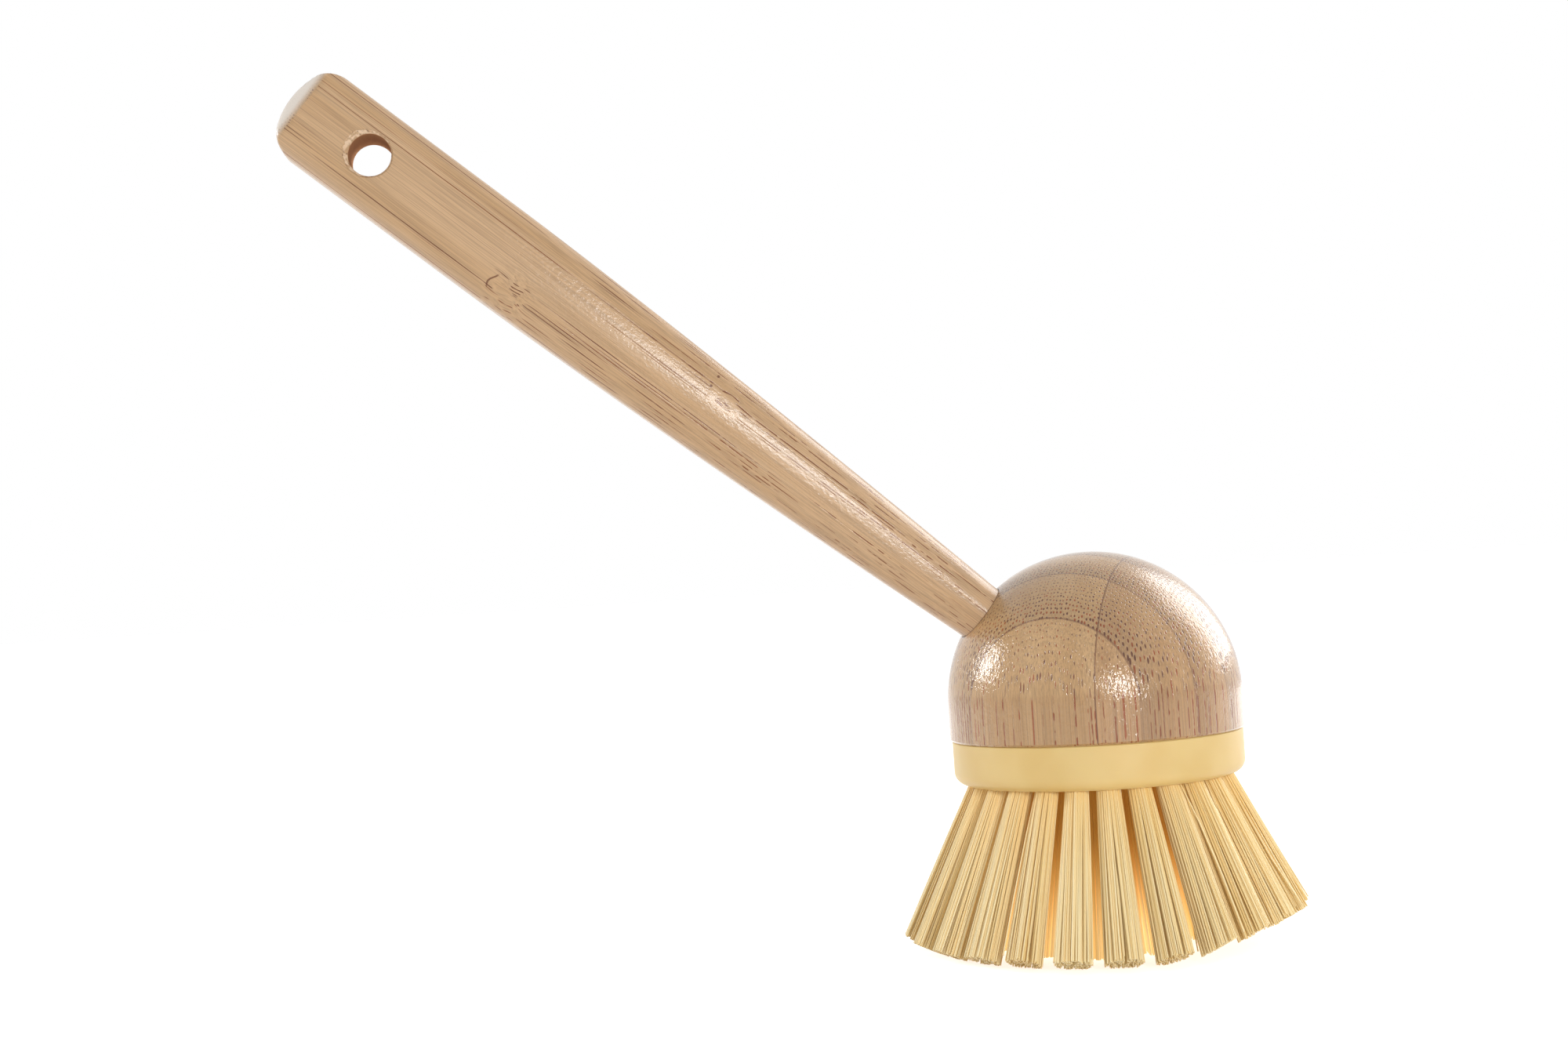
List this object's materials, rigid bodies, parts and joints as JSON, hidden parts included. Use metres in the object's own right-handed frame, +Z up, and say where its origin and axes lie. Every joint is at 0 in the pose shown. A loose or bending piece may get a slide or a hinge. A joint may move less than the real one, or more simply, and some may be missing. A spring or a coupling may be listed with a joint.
{
  "type": "dish brush",
  "caption": "Bamboo dish brush: a tapering handle with a hanging hole, leaning out of a domed laminated head over a round plastic plate of splayed bristle tufts.",
  "frame": {"origin": "on the head's vertical axis, in the plane that the lowest tufts are trimmed to, at the flat tip of the centre tuft", "axes": "+Z up along the head's axis from the bristle tips to the dome, -X the way the handle leans, +Y to the back, away from the picture's side"},
  "size_m": [0.1997, 0.0837, 0.1833],
  "materials": {
    "handle_bamboo": "clear-lacquered bamboo, satin",
    "head_bamboo": "turned laminated bamboo under glossy clear lacquer",
    "plate_plastic": "satin moulded polypropylene, pale yellow",
    "bristle": "straw-coloured filaments, cut square",
    "anchor_wire": "flat drawn wire"
  },
  "bodies": {
    "brush": {"handle": "handle_bamboo", "head_stave_1_left": "head_bamboo", "head_stave_1_right": "head_bamboo", "head_stave_2_left": "head_bamboo", "head_stave_2_right": "head_bamboo", "head_stave_3_left": "head_bamboo", "head_stave_3_right": "head_bamboo", "head_stave_4_left": "head_bamboo", "head_stave_4_right": "head_bamboo", "head_stave_5_left": "head_bamboo", "head_stave_5_right": "head_bamboo", "head_stave_6_left": "head_bamboo", "head_stave_6_right": "head_bamboo", "head_stave_7_left": "head_bamboo", "head_stave_7_right": "head_bamboo"},
    "refill": {"brush_plate": "plate_plastic", "tuft_outer_01": "bristle", "tuft_outer_02": "bristle", "tuft_outer_03": "bristle", "tuft_outer_04": "bristle", "tuft_outer_05": "bristle", "tuft_outer_06": "bristle", "tuft_outer_07": "bristle", "tuft_outer_08": "bristle", "tuft_outer_09": "bristle", "tuft_outer_10": "bristle", "tuft_outer_11": "bristle", "tuft_outer_12": "bristle", "tuft_outer_13": "bristle", "tuft_outer_14": "bristle", "tuft_outer_15": "bristle", "tuft_outer_16": "bristle", "tuft_outer_17": "bristle", "tuft_outer_18": "bristle", "tuft_outer_19": "bristle", "tuft_outer_20": "bristle", "tuft_outer_21": "bristle", "tuft_outer_22": "bristle", "tuft_outer_23": "bristle", "tuft_outer_24": "bristle", "tuft_outer_25": "bristle", "tuft_middle_01": "bristle", "tuft_middle_02": "bristle", "tuft_middle_03": "bristle", "tuft_middle_04": "bristle", "tuft_middle_05": "bristle", "tuft_middle_06": "bristle", "tuft_middle_07": "bristle", "tuft_middle_08": "bristle", "tuft_middle_09": "bristle", "tuft_middle_10": "bristle", "tuft_middle_11": "bristle", "tuft_middle_12": "bristle", "tuft_inner_01": "bristle", "tuft_inner_02": "bristle", "tuft_inner_03": "bristle", "tuft_inner_04": "bristle", "tuft_inner_05": "bristle", "tuft_centre_01": "bristle", "tuft_anchors": "anchor_wire"}
  },
  "joints": [
    {"name": "refill_slide", "type": "slide", "parent": "brush", "child": "refill", "axis": [0, 0, -1], "range_m": [0, 0.02]}
  ]
}
